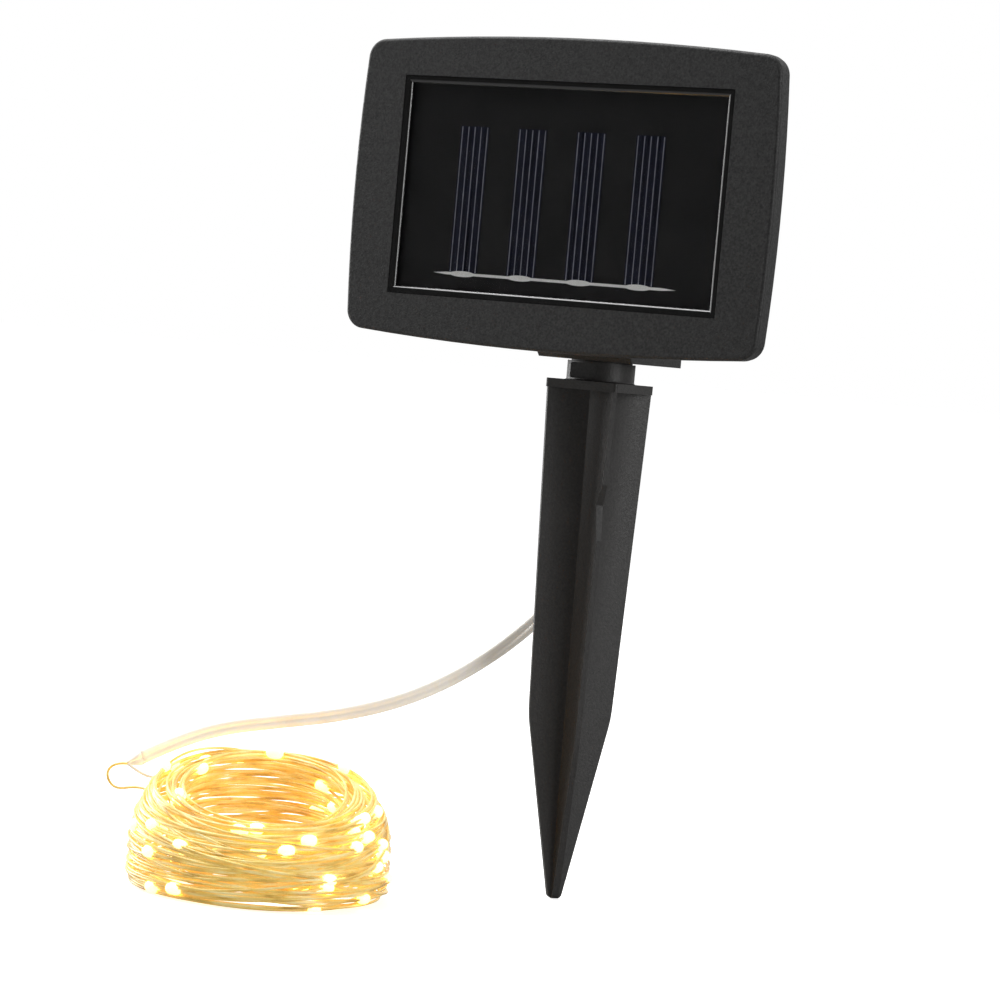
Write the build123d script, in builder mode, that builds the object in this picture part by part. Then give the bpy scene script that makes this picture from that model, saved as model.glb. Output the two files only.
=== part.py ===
"""Solar string lights: a solar head on a ground stake, with its lead and its coil of light wire.

Millimetres. The origin is the tip of the stake, +Z runs up the stake, the solar window faces -Y
and +X is to the right of someone who looks at the window.
"""
import os
from math import cos, pi, radians, sin, sqrt, tan

from build123d import *

# ---------------------------------------------------------------- driving dimensions
# Ground stake
FLANGE_TOP = 136.0
FLANGE_THICKNESS = 2.3
FLANGE_SIDE = 21.0
BLADE_REACH = 14.1
SHOULDER_REACH = 11.2
SHOULDER_HEIGHT = 48.0
TIP_HALF_WIDTH = 1.7
COLLAR_RADIUS = 8.9
COLLAR_TOP = 141.1
POST_RADIUS = 7.95
POST_TOP = 154.0
POST_BORE_RADIUS = 6.3
RECESS_FLOOR = 7.2
RECESS_PLACE = (-1.2, 138.6)
RECESS_SIZE = (8.8, 4.0)

# Head: Y positions run from the front face back
FRONT_Y = -32.5
PANE_Y = -31.2
BOARD_Y = -30.1
PARTING_Y = -28.7
RIM_BACK_Y = -27.1
INNER_BACK_Y = -18.0
OUTER_BACK_Y = -16.0
CORNER_HALF_WIDTH = 59.2
HEAD_LOW = 144.8
HEAD_HIGH = 219.5
SIDE_BULGE = 1.4
END_BULGE = 2.4
CORNER_RADIUS = 5.0
WALL = 1.8
BACK_INSET = 5.6

# Solar window
WINDOW_HALF_WIDTH = 47.5
WINDOW_LOW = 154.3
WINDOW_HIGH = 210.8
LIP_WIDTH = 2.0
STRIP_COUNT = 4
STRIP_PITCH = 17.0
STRIP_WIDTH = 8.4
STRIP_OFFSET = -1.0
STRIP_LOW = 160.4
STRIP_HIGH = 198.5
FINGERS_PER_STRIP = 5
FINGER_SPAN = 7.4

# Rear box, stalk and socket
BLOCK_HALF_WIDTH = 13.8
BLOCK_FRONT_Y = -9.2
BLOCK_BACK_Y = 19.9
BLOCK_LOW = 141.4
BOX_HALF_WIDTH = 34.0
BOX_LOW = 170.0
BOX_HIGH = 198.0
BOX_BACK_Y = 3.0
SOCKET_RADIUS = 8.0
SOCKET_TOP = 156.0

# Battery: one AA cell
CELL_RADIUS = 7.1
CELL_LENGTH = 50.2
CELL_Y = -7.6
CELL_Z = 184.0

# Fasteners and controls
SCREW_X = 50.6
SCREW_LOW = 154.0
SCREW_HIGH = 210.0
SCREW_SHAFT_RADIUS = 1.3
CONTROL_X = 43.0
BUTTON_Z = 177.0
SLIDER_Z = 191.0
BUTTON_RADIUS = 4.0
SLIDER_TRAVEL = 3.0

# Lead and light wire
LEAD_DIAMETER = 3.8
GLAND_X = -3.0
GLAND_Y = 15.0
GLAND_LOW = 136.6
WIRE_DIAMETER = 0.7
COIL_CENTRE = (-51.0, -64.5)
COIL_RADIUS = 35.4
COIL_BORE_RADIUS = 20.0
COIL_FOOT_RADIUS = 31.0
COIL_SHOULDER_RADIUS = 28.5
COIL_WIDEST_HEIGHT = 12.0
COIL_BACK_HEIGHT = 36.0
COIL_MIDDLE_HEIGHT = 27.0
COIL_SLOPE = 13.0
# The coil slopes down towards the front right, along this direction from the X axis
COIL_SLOPE_HEADING = -60.5

# Route of the lead, from the gland to the joint
LEAD_ROUTE = [
    (GLAND_X, GLAND_Y, GLAND_LOW),
    (GLAND_X, GLAND_Y, 118.0),
    (-5.8, 17.6, 98.0),
    (-12.0, 15.2, 80.0),
    (-20.7, 6.1, 66.5),
    (-30.7, -4.7, 55.5),
    (-42.2, -14.7, 47.5),
    (-54.7, -25.2, 42.5),
    (-67.6, -34.8, 39.6),
    (-79.4, -44.4, 36.8),
    (-87.6, -54.2, 32.2),
    (-92.0, -61.2, 28.2),
]
# Route of the light wire, from the joint to the coil
WIRE_ROUTE = [
    (-96.6, -66.2, 26.6),
    (-98.2, -68.0, 23.6),
    (-95.2, -67.8, 19.8),
    (-89.8, -65.8, 21.2),
    (-85.6, -64.9, 20.7),
]


# ---------------------------------------------------------------- shared helpers
def facing_front(y):
    """Vertical plane at Y = y, with X across and Z up, whose normal points to the front."""
    return Plane.XZ.offset(-y)


def head_outline(plane, inset):
    """Sketch of the head's outline: four bulged sides and rounded corners, drawn in by inset."""
    half = CORNER_HALF_WIDTH - inset
    low = HEAD_LOW + inset
    high = HEAD_HIGH - inset
    middle = (low + high) / 2
    with BuildSketch(plane) as outline:
        with BuildLine():
            ThreePointArc((-half, low), (0, low - END_BULGE), (half, low))
            ThreePointArc((half, low), (half + SIDE_BULGE, middle), (half, high))
            ThreePointArc((half, high), (0, high + END_BULGE), (-half, high))
            ThreePointArc((-half, high), (-half - SIDE_BULGE, middle), (-half, low))
        make_face()
        fillet(outline.vertices(), max(CORNER_RADIUS - inset, 1.2))
    return outline.sketch


def block(x_span, y_span, z_span, mode=Mode.ADD):
    """Rectangular block between three pairs of coordinates, added to the part in progress."""
    sizes = [high - low for low, high in (x_span, y_span, z_span)]
    centre = [(high + low) / 2 for low, high in (x_span, y_span, z_span)]
    with Locations(tuple(centre)):
        Box(*sizes, mode=mode)


def rod(x, z, radius, front, back, mode=Mode.ADD):
    """Round rod along Y from front to back, centred on x, z."""
    with BuildSketch(facing_front(back)) as disc:
        with Locations((x, z)):
            Circle(radius)
    extrude(disc.sketch, amount=back - front, mode=mode)


def seal_ring():
    """Sketch of the ring between two head outlines where the housing seal lies."""
    plane = facing_front(PARTING_Y + SEAL_DEPTH)
    return head_outline(plane, 0.75) - head_outline(plane, 1.35)


def corner_radii(route):
    """Largest tangent arc at each corner of a route: 0.45 of the shorter run."""
    radii = []
    for before, here, after in zip(route, route[1:], route[2:]):
        run_in = Vector(*here) - Vector(*before)
        run_out = Vector(*after) - Vector(*here)
        half_turn = radians(run_in.get_angle(run_out)) / 2
        radii.append(0.45 * min(run_in.length, run_out.length) / tan(half_turn))
    return radii


def report_tube(name, route, part, path_length, section):
    """Print a tube's arcs and compare its volume with its section times its length."""
    radii = ", ".join(f"{radius:.1f}" for radius in corner_radii(route))
    print(f"{name}: length {path_length:.1f}, radii {radii}")
    print(f"{name}: volume {part.volume:.1f}, section x length {section * path_length:.1f}")


SCREW_SITES = [(x, z) for x in (-SCREW_X, SCREW_X) for z in (SCREW_LOW, SCREW_HIGH)]
STRIP_SITES = [STRIP_OFFSET + STRIP_PITCH * (i - (STRIP_COUNT - 1) / 2) for i in range(STRIP_COUNT)]
BOARD_HALF_WIDTH = WINDOW_HALF_WIDTH + 0.4
BOARD_LOW = WINDOW_LOW - 1.0
BOARD_HIGH = WINDOW_HIGH + 1.0
BOARD_BACK_Y = BOARD_Y + 1.6
BEZEL_POST_BACK_Y = -22.1
BEZEL_POST_RADIUS = 2.5
SHELL_POST_RADIUS = 3.4
SCREW_HOLE_RADIUS = 1.5
COUNTERBORE_RADIUS = 2.6
COUNTERBORE_FLOOR_Y = OUTER_BACK_Y - 2.2
SCREW_HEAD_RADIUS = 2.4
SEAL_DEPTH = 0.8

os.makedirs("parts", exist_ok=True)


# ---------------------------------------------------------------- ground stake
def star_section(height, root, reach, edge, corner):
    """Cross of four blades on the diagonals, thick at the root and thin at the edge.

    root is half the blade's thickness where two blades meet, edge its whole thickness at reach,
    and corner the radius between two blades.
    """
    middle = (root + reach) / 2
    middle_half = edge / 2 + (root - edge / 2) / 4
    with BuildSketch(Plane.XY.offset(height)) as star:
        with BuildLine():
            for quarter in range(4):
                blade = Vector(1, 1).rotate(Axis.Z, 90 * quarter).normalized()
                side = Vector(-1, 1).rotate(Axis.Z, 90 * quarter).normalized()
                low_tip = blade * reach - side * (edge / 2)
                high_tip = blade * reach + side * (edge / 2)
                Line(low_tip, high_tip)
                ThreePointArc(
                    high_tip,
                    blade * middle + side * middle_half,
                    blade * root + side * root,
                )
                ThreePointArc(
                    blade * root - side * root,
                    blade * middle - side * middle_half,
                    low_tip,
                )
        make_face()
        meeting = star.vertices().filter_by(lambda v: Vector(v.X, v.Y).length < root * 1.5)
        fillet(meeting, corner)
    return star.sketch


def blade_profile(heading, half_outline, shoulders):
    """Trim the pair of blades that lies along heading to its outline, given as radius and height."""
    across = (cos(radians(heading)), sin(radians(heading)), 0)
    side_view = Plane(origin=(0, 0, 0), x_dir=across, z_dir=(across[1], -across[0], 0))
    left_half = [(-radius, height) for radius, height in reversed(half_outline)]
    with BuildSketch(side_view) as profile:
        with BuildLine():
            Polyline(*half_outline, *left_half, close=True)
        make_face()
        tip = profile.vertices().group_by(Axis.Y)[0]
        fillet(tip, TIP_HALF_WIDTH * 0.8)
        for height, radius in shoulders:
            bend = profile.vertices().filter_by(lambda v: abs(v.Y - height) < 0.01)
            fillet(bend, radius)
    extrude(profile.sketch, amount=20, both=True, mode=Mode.INTERSECT)


BLADE_TOP = FLANGE_TOP - FLANGE_THICKNESS
PLAIN_BLADE = [
    (TIP_HALF_WIDTH, 0),
    (SHOULDER_REACH, SHOULDER_HEIGHT),
    (BLADE_REACH, BLADE_TOP),
]
BARBED_BLADE = [
    (TIP_HALF_WIDTH, 0),
    (8.7, 40.0),
    (11.6, 95.0),
    (9.6, 104.3),
    (12.6, 109.5),
    (BLADE_REACH, BLADE_TOP),
]
# Bends of the two profiles, as height and radius
PLAIN_BENDS = [(SHOULDER_HEIGHT, 30)]
BARBED_BENDS = [(40.0, 30), (104.3, 0.8), (109.5, 1.5)]
# Blade section as half thickness at the root, reach, thickness at the edge and corner radius
FOOT_SECTION = (0.95, 12.5, 0.8, 0.15)
HEAD_SECTION = (3.5, BLADE_REACH + 0.5, 1.2, 0.5)
GROOVE_Z = 148.0
GROOVE_HALF_WIDTH = 0.9
GROOVE_RADIUS = 7.1

with BuildPart() as ground_stake:
    foot = star_section(0, *FOOT_SECTION)
    head = star_section(BLADE_TOP, *HEAD_SECTION)
    loft([foot, head], ruled=True)
    blade_profile(45, PLAIN_BLADE, PLAIN_BENDS)
    blade_profile(-45, BARBED_BLADE, BARBED_BENDS)
    with BuildSketch(Plane.XY.offset(BLADE_TOP)):
        RectangleRounded(FLANGE_SIDE, FLANGE_SIDE, 0.8)
    extrude(amount=FLANGE_THICKNESS)
    with BuildSketch(Plane.XY.offset(FLANGE_TOP)):
        Circle(COLLAR_RADIUS)
    extrude(amount=COLLAR_TOP - FLANGE_TOP)
    collar_foot = ground_stake.edges().filter_by(GeomType.CIRCLE)
    collar_foot = collar_foot.filter_by(lambda e: abs(e.radius - COLLAR_RADIUS) < 0.01)
    fillet(collar_foot.sort_by(Axis.Z)[0], 0.5)
    with BuildSketch(Plane.XY.offset(COLLAR_TOP)):
        Circle(POST_RADIUS)
    extrude(amount=POST_TOP - COLLAR_TOP)
    chamfer(ground_stake.faces().sort_by(Axis.Z)[-1].edges(), 0.5)
    with BuildSketch(Plane.XY.offset(FLANGE_TOP - 1.0)):
        Circle(POST_BORE_RADIUS)
    extrude(amount=POST_TOP - FLANGE_TOP + 1.0, mode=Mode.SUBTRACT)
    # Recess in the front of the collar
    with BuildSketch(facing_front(-RECESS_FLOOR)):
        with Locations(RECESS_PLACE):
            RectangleRounded(*RECESS_SIZE, 1.2)
    extrude(amount=COLLAR_RADIUS, mode=Mode.SUBTRACT)
    # Groove for the friction ring
    with BuildSketch(Plane.XY.offset(GROOVE_Z - GROOVE_HALF_WIDTH)):
        Circle(POST_RADIUS + 1)
        Circle(GROOVE_RADIUS, mode=Mode.SUBTRACT)
    extrude(amount=2 * GROOVE_HALF_WIDTH, mode=Mode.SUBTRACT)
ground_stake.part.label = "ground_stake"
export_step(ground_stake.part, "parts/ground_stake.step")

with BuildPart() as friction_ring:
    with BuildSketch(Plane.XZ):
        with Locations(((GROOVE_RADIUS + POST_RADIUS) / 2, GROOVE_Z)):
            RectangleRounded(POST_RADIUS - GROOVE_RADIUS, 1.5, 0.38)
    revolve(axis=Axis.Z)
friction_ring.part.label = "friction_ring"
export_step(friction_ring.part, "parts/friction_ring.step")

# ---------------------------------------------------------------- head: front frame and window
with BuildPart() as front_bezel:
    extrude(head_outline(facing_front(PARTING_Y), 0), amount=PARTING_Y - FRONT_Y)
    fillet(front_bezel.faces().sort_by(Axis.Y)[0].edges(), 0.9)
    inside = head_outline(facing_front(PARTING_Y), WALL)
    extrude(inside, amount=PARTING_Y - BOARD_Y, mode=Mode.SUBTRACT)
    block(
        (-WINDOW_HALF_WIDTH, WINDOW_HALF_WIDTH),
        (FRONT_Y - 1, PARTING_Y + 1),
        (WINDOW_LOW, WINDOW_HIGH),
        Mode.SUBTRACT,
    )
    for x, z in SCREW_SITES:
        rod(x, z, BEZEL_POST_RADIUS, BOARD_Y, BEZEL_POST_BACK_Y)
        rod(x, z, SCREW_SHAFT_RADIUS, BOARD_Y + 0.6, BEZEL_POST_BACK_Y, Mode.SUBTRACT)
front_bezel.part.label = "front_bezel"
export_step(front_bezel.part, "parts/front_bezel.step")

with BuildPart() as window_trim:
    trim_fit = 0.05
    with BuildSketch(facing_front(PANE_Y)):
        with Locations((0, (WINDOW_LOW + WINDOW_HIGH) / 2)):
            Rectangle(2 * (WINDOW_HALF_WIDTH - trim_fit), WINDOW_HIGH - WINDOW_LOW - 2 * trim_fit)
            Rectangle(
                2 * (WINDOW_HALF_WIDTH - LIP_WIDTH),
                WINDOW_HIGH - WINDOW_LOW - 2 * LIP_WIDTH,
                mode=Mode.SUBTRACT,
            )
    extrude(amount=PANE_Y - FRONT_Y - 0.2)
    # Rounded edge that falls from the frame down to the pane
    opening = window_trim.faces().sort_by(Axis.Y)[0].inner_wires()[0].edges()
    fillet(opening, 0.9)
window_trim.part.label = "window_trim"
export_step(window_trim.part, "parts/window_trim.step")

with BuildPart() as clear_pane:
    block(
        (-WINDOW_HALF_WIDTH + 0.1, WINDOW_HALF_WIDTH - 0.1),
        (PANE_Y, PANE_Y + 0.8),
        (WINDOW_LOW + 0.1, WINDOW_HIGH - 0.1),
    )
clear_pane.part.label = "clear_pane"
export_step(clear_pane.part, "parts/clear_pane.step")

with BuildPart() as solar_board:
    block(
        (-BOARD_HALF_WIDTH, BOARD_HALF_WIDTH),
        (BOARD_Y, BOARD_BACK_Y),
        (BOARD_LOW, BOARD_HIGH),
    )
solar_board.part.label = "solar_board"
export_step(solar_board.part, "parts/solar_board.step")

CELL_FACE_Y = BOARD_Y - 0.12
with BuildPart() as solar_cells:
    for x in STRIP_SITES:
        block(
            (x - STRIP_WIDTH / 2, x + STRIP_WIDTH / 2),
            (CELL_FACE_Y, BOARD_Y),
            (STRIP_LOW - 0.3, STRIP_HIGH),
        )
solar_cells.part.label = "solar_cells"
export_step(solar_cells.part, "parts/solar_cells.step")

FINGER_WIDTH = 0.28
FINGER_FACE_Y = CELL_FACE_Y - 0.04
with BuildPart() as cell_fingers:
    for x in STRIP_SITES:
        for i in range(FINGERS_PER_STRIP):
            across = x + FINGER_SPAN * (i / (FINGERS_PER_STRIP - 1) - 0.5)
            block(
                (across - FINGER_WIDTH / 2, across + FINGER_WIDTH / 2),
                (FINGER_FACE_Y, CELL_FACE_Y),
                (STRIP_LOW + 0.6, STRIP_HIGH - 0.2),
            )
cell_fingers.part.label = "cell_fingers"
export_step(cell_fingers.part, "parts/cell_fingers.step")

BUSBAR_Z = STRIP_LOW + 0.1
BUSBAR_HALF_LENGTH = 35.2
with BuildPart() as busbar_ribbon:
    with BuildSketch(facing_front(CELL_FACE_Y)):
        with BuildLine():
            Polyline(
                (-BUSBAR_HALF_LENGTH, BUSBAR_Z),
                (-BUSBAR_HALF_LENGTH + 4, BUSBAR_Z - 0.35),
                (BUSBAR_HALF_LENGTH - 4, BUSBAR_Z - 0.35),
                (BUSBAR_HALF_LENGTH, BUSBAR_Z),
                (BUSBAR_HALF_LENGTH - 4, BUSBAR_Z + 0.35),
                (-BUSBAR_HALF_LENGTH + 4, BUSBAR_Z + 0.35),
                close=True,
            )
        make_face()
    extrude(amount=0.1)
busbar_ribbon.part.label = "busbar_ribbon"
export_step(busbar_ribbon.part, "parts/busbar_ribbon.step")

with BuildPart() as solder_joints:
    for x in STRIP_SITES:
        with BuildSketch(facing_front(CELL_FACE_Y - 0.1)):
            with Locations((x, BUSBAR_Z)):
                Ellipse(FINGER_SPAN / 2, 0.75)
        extrude(amount=0.07)
solder_joints.part.label = "solder_joints"
export_step(solder_joints.part, "parts/solder_joints.step")

# ---------------------------------------------------------------- head: rear shell
STALK_PROFILE = [
    (OUTER_BACK_Y - 1, 149.2),
    (BLOCK_FRONT_Y, BLOCK_LOW),
    (BLOCK_BACK_Y, BLOCK_LOW),
    (BLOCK_BACK_Y, 152.0),
    (BOX_BACK_Y, BOX_LOW + 1),
    (OUTER_BACK_Y - 1, BOX_LOW + 1),
]
STALK_HOLLOW = [
    (INNER_BACK_Y - 0.5, 152.0),
    (-8.4, BLOCK_LOW + 2),
    (BLOCK_BACK_Y - 2, BLOCK_LOW + 2),
    (BLOCK_BACK_Y - 2, 151.3),
    (BOX_BACK_Y - 1.2, BOX_LOW),
    (INNER_BACK_Y - 0.5, BOX_LOW),
]
COMPARTMENT_HALF_WIDTH = 31.0
DOOR_LEDGE_Y = 0.5
DOOR_SCREW_X = 29.0
BOARD_POSTS = [(20.0, 197.0), (49.0, 170.5)]
PCB_FRONT_Y = -25.0
PCB_BACK_Y = -23.4
RIB_LOW = 178.5
PLUS_RIB = (25.6, 27.0)
MINUS_RIB = (-29.0, -27.6)
BATTERY_WIRE_Z = 177.0
THIN_WIRE_RADIUS = 0.6
WIRE_HOLE_RADIUS = 0.9
DOOR_PILOT_RADIUS = 1.0
BOARD_POST_RADIUS = 2.0
GLAND_HOLE_RADIUS = 2.9
CRADLE_RIBS_X = (-16, 14)
PLUS_WIRE_X = PLUS_RIB[0] + THIN_WIRE_RADIUS
MINUS_WIRE_X = MINUS_RIB[1] - THIN_WIRE_RADIUS
DOOR_SCREW_Z = CELL_Z + 7.6

with BuildPart() as rear_shell:
    rim = head_outline(facing_front(RIM_BACK_Y), 0.25)
    extrude(rim, amount=RIM_BACK_Y - PARTING_Y)
    loft([rim, head_outline(facing_front(OUTER_BACK_Y), BACK_INSET)])
    fillet(rear_shell.faces().sort_by(Axis.Y)[-1].edges(), 0.9)
    # Battery box
    with BuildSketch(facing_front(BOX_BACK_Y)):
        with Locations((0, (BOX_LOW + BOX_HIGH) / 2)):
            RectangleRounded(2 * BOX_HALF_WIDTH, BOX_HIGH - BOX_LOW, 4)
    extrude(amount=BOX_BACK_Y - OUTER_BACK_Y + 1)
    fillet(rear_shell.faces().sort_by(Axis.Y)[-1].edges(), 1.0)
    # Stalk that stands on the stake
    with BuildSketch(Plane.YZ):
        with BuildLine():
            Polyline(*STALK_PROFILE, close=True)
        make_face()
    extrude(amount=BLOCK_HALF_WIDTH, both=True)
    stalk_corners = rear_shell.edges().filter_by(Axis.Z).filter_by(
        lambda e: abs(e.center().Y - BLOCK_BACK_Y) < 0.01
    )
    fillet(stalk_corners, 2.0)
    # Hollow of the tray
    mouth = head_outline(facing_front(RIM_BACK_Y), WALL)
    extrude(mouth, amount=RIM_BACK_Y - PARTING_Y, mode=Mode.SUBTRACT)
    floor = head_outline(facing_front(INNER_BACK_Y), BACK_INSET + 0.6)
    loft([mouth, floor], mode=Mode.SUBTRACT)
    # Groove for the housing seal
    extrude(seal_ring(), amount=SEAL_DEPTH, mode=Mode.SUBTRACT)
    # Battery compartment, open to the rear, with a ledge for the door
    block(
        (-COMPARTMENT_HALF_WIDTH, COMPARTMENT_HALF_WIDTH),
        (OUTER_BACK_Y, BOX_BACK_Y + 1),
        (BOX_LOW + 3, BOX_HIGH - 3),
        Mode.SUBTRACT,
    )
    block(
        (-COMPARTMENT_HALF_WIDTH - 1.5, COMPARTMENT_HALF_WIDTH + 1.5),
        (DOOR_LEDGE_Y, BOX_BACK_Y + 1),
        (BOX_LOW + 1.5, BOX_HIGH - 1.5),
        Mode.SUBTRACT,
    )
    # Hollow of the stalk, open to the tray
    with BuildSketch(Plane.YZ):
        with BuildLine():
            Polyline(*STALK_HOLLOW, close=True)
        make_face()
    extrude(amount=BLOCK_HALF_WIDTH - 2, both=True, mode=Mode.SUBTRACT)
    # Socket for the post of the stake
    with BuildSketch(Plane.XY.offset(BLOCK_LOW)):
        Circle(SOCKET_RADIUS + 1.2)
    extrude(amount=SOCKET_TOP + 1.5 - BLOCK_LOW)
    with BuildSketch(Plane.XY.offset(BLOCK_LOW)):
        Circle(SOCKET_RADIUS)
    extrude(amount=SOCKET_TOP - BLOCK_LOW, mode=Mode.SUBTRACT)
    # Gland hole
    with BuildSketch(Plane.XY.offset(BLOCK_LOW)):
        with Locations((GLAND_X, GLAND_Y)):
            Circle(GLAND_HOLE_RADIUS)
    extrude(amount=2, mode=Mode.SUBTRACT)
    # Housing screw posts
    for x, z in SCREW_SITES:
        rod(x, z, SHELL_POST_RADIUS, BEZEL_POST_BACK_Y + 0.1, OUTER_BACK_Y - 0.5)
        rod(x, z, SCREW_HOLE_RADIUS, BEZEL_POST_BACK_Y - 1, OUTER_BACK_Y + 1, Mode.SUBTRACT)
        rod(x, z, COUNTERBORE_RADIUS, COUNTERBORE_FLOOR_Y, OUTER_BACK_Y + 1, Mode.SUBTRACT)
    # Circuit board posts
    for x, z in BOARD_POSTS:
        rod(x, z, BOARD_POST_RADIUS, PCB_BACK_Y, INNER_BACK_Y + 0.5)
        rod(x, z, 0.8, PCB_BACK_Y, INNER_BACK_Y - 0.6, Mode.SUBTRACT)
    # Cradle ribs under the cell and walls behind its contacts
    for x in CRADLE_RIBS_X:
        block((x, x + 2), (OUTER_BACK_Y, -3), (BOX_LOW + 3, CELL_Z - CELL_RADIUS - 0.1))
    block(PLUS_RIB, (OUTER_BACK_Y, -1), (RIB_LOW, CELL_Z + 4))
    block(MINUS_RIB, (OUTER_BACK_Y, -1), (RIB_LOW, CELL_Z + 4))
    # Door screw posts in the ends of the compartment
    for side in (-1, 1):
        block(
            (side * DOOR_SCREW_X - 2.0, side * DOOR_SCREW_X + 2.0),
            (OUTER_BACK_Y, DOOR_LEDGE_Y),
            (CELL_Z + 4.4, BOX_HIGH - 3),
        )
        rod(side * DOOR_SCREW_X, DOOR_SCREW_Z, DOOR_PILOT_RADIUS, -8.0, DOOR_LEDGE_Y, Mode.SUBTRACT)
    # Holes for the battery wires
    for x in (PLUS_WIRE_X, MINUS_WIRE_X):
        rod(x, BATTERY_WIRE_Z, WIRE_HOLE_RADIUS, INNER_BACK_Y - 1, OUTER_BACK_Y + 1, Mode.SUBTRACT)
    # Controls
    rod(CONTROL_X, BUTTON_Z, BUTTON_RADIUS + 0.1, INNER_BACK_Y - 1, OUTER_BACK_Y + 1, Mode.SUBTRACT)
    block(
        (CONTROL_X - 2.2, CONTROL_X + 2.2),
        (INNER_BACK_Y - 1, OUTER_BACK_Y + 1),
        (SLIDER_Z - 2.5, SLIDER_Z + 2.5 + SLIDER_TRAVEL),
        Mode.SUBTRACT,
    )
rear_shell.part.label = "rear_shell"
export_step(rear_shell.part, "parts/rear_shell.step")

with BuildPart() as housing_seal:
    extrude(seal_ring(), amount=SEAL_DEPTH)
housing_seal.part.label = "housing_seal"
export_step(housing_seal.part, "parts/housing_seal.step")


def cross_recess(x, z, y, size, depth):
    """Cross-shaped driver recess cut into a screw head whose face is at y."""
    for wide, tall in ((size, size / 4), (size / 4, size)):
        block(
            (x - wide / 2, x + wide / 2),
            (y - depth, y + 1),
            (z - tall / 2, z + tall / 2),
            Mode.SUBTRACT,
        )


with BuildPart() as housing_screws:
    for x, z in SCREW_SITES:
        rod(x, z, SCREW_SHAFT_RADIUS, BOARD_Y + 1.2, COUNTERBORE_FLOOR_Y)
        rod(x, z, SCREW_HEAD_RADIUS, COUNTERBORE_FLOOR_Y, OUTER_BACK_Y - 0.6)
        cross_recess(x, z, OUTER_BACK_Y - 0.6, 2.8, 0.8)
housing_screws.part.label = "housing_screws"
export_step(housing_screws.part, "parts/housing_screws.step")

# ---------------------------------------------------------------- head: battery compartment
DOOR_HALF_WIDTH = COMPARTMENT_HALF_WIDTH + 1.3
DOOR_LOW = BOX_LOW + 1.7
DOOR_HIGH = BOX_HIGH - 1.7
DOOR_INNER_Y = DOOR_LEDGE_Y + 0.5

with BuildPart() as door_seal:
    with BuildSketch(facing_front(DOOR_INNER_Y)):
        with Locations((0, (BOX_LOW + BOX_HIGH) / 2)):
            Rectangle(2 * DOOR_HALF_WIDTH, DOOR_HIGH - DOOR_LOW)
            Rectangle(2 * COMPARTMENT_HALF_WIDTH, BOX_HIGH - BOX_LOW - 6, mode=Mode.SUBTRACT)
    extrude(amount=DOOR_INNER_Y - DOOR_LEDGE_Y)
door_seal.part.label = "door_seal"
export_step(door_seal.part, "parts/door_seal.step")

with BuildPart() as battery_door:
    with BuildSketch(facing_front(BOX_BACK_Y)):
        with Locations((0, (BOX_LOW + BOX_HIGH) / 2)):
            RectangleRounded(2 * DOOR_HALF_WIDTH, DOOR_HIGH - DOOR_LOW, 0.8)
    extrude(amount=BOX_BACK_Y - DOOR_INNER_Y)
    for side in (-1, 1):
        rod(side * DOOR_SCREW_X, DOOR_SCREW_Z, 1.2, 0, BOX_BACK_Y + 1, Mode.SUBTRACT)
        rod(side * DOOR_SCREW_X, DOOR_SCREW_Z, 2.3, BOX_BACK_Y - 1.2, BOX_BACK_Y + 1, Mode.SUBTRACT)
    # Finger grooves
    for i in range(5):
        z = BOX_LOW + 6 + 2.2 * i
        block((-9, 9), (BOX_BACK_Y - 0.5, BOX_BACK_Y + 1), (z, z + 1.0), Mode.SUBTRACT)
battery_door.part.label = "battery_door"
export_step(battery_door.part, "parts/battery_door.step")

with BuildPart() as door_screws:
    for side in (-1, 1):
        rod(side * DOOR_SCREW_X, DOOR_SCREW_Z, 1.0, -6.5, BOX_BACK_Y - 1.2)
        rod(side * DOOR_SCREW_X, DOOR_SCREW_Z, 2.0, BOX_BACK_Y - 1.2, BOX_BACK_Y - 0.2)
        cross_recess(side * DOOR_SCREW_X, DOOR_SCREW_Z, BOX_BACK_Y - 0.2, 2.4, 0.5)
door_screws.part.label = "door_screws"
export_step(door_screws.part, "parts/door_screws.step")

NUB_LENGTH = 1.0
with BuildPart() as battery_cell:
    with BuildSketch(Plane.YZ.offset(-CELL_LENGTH / 2)):
        with Locations((CELL_Y, CELL_Z)):
            Circle(CELL_RADIUS)
    extrude(amount=CELL_LENGTH - NUB_LENGTH)
    fillet(battery_cell.edges().filter_by(GeomType.CIRCLE), 0.5)
    with BuildSketch(Plane.YZ.offset(CELL_LENGTH / 2 - NUB_LENGTH)):
        with Locations((CELL_Y, CELL_Z)):
            Circle(2.7)
    extrude(amount=NUB_LENGTH)
battery_cell.part.label = "battery_cell"
export_step(battery_cell.part, "parts/battery_cell.step")

CONTACT_Y = (-15.0, -4.0)
CONTACT_LOW = 176.0
with BuildPart() as plus_contact:
    block(
        (PLUS_RIB[0] - 0.4, PLUS_RIB[0]),
        CONTACT_Y,
        (CONTACT_LOW, CELL_Z + 5),
    )
plus_contact.part.label = "plus_contact"
export_step(plus_contact.part, "parts/plus_contact.step")

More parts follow.
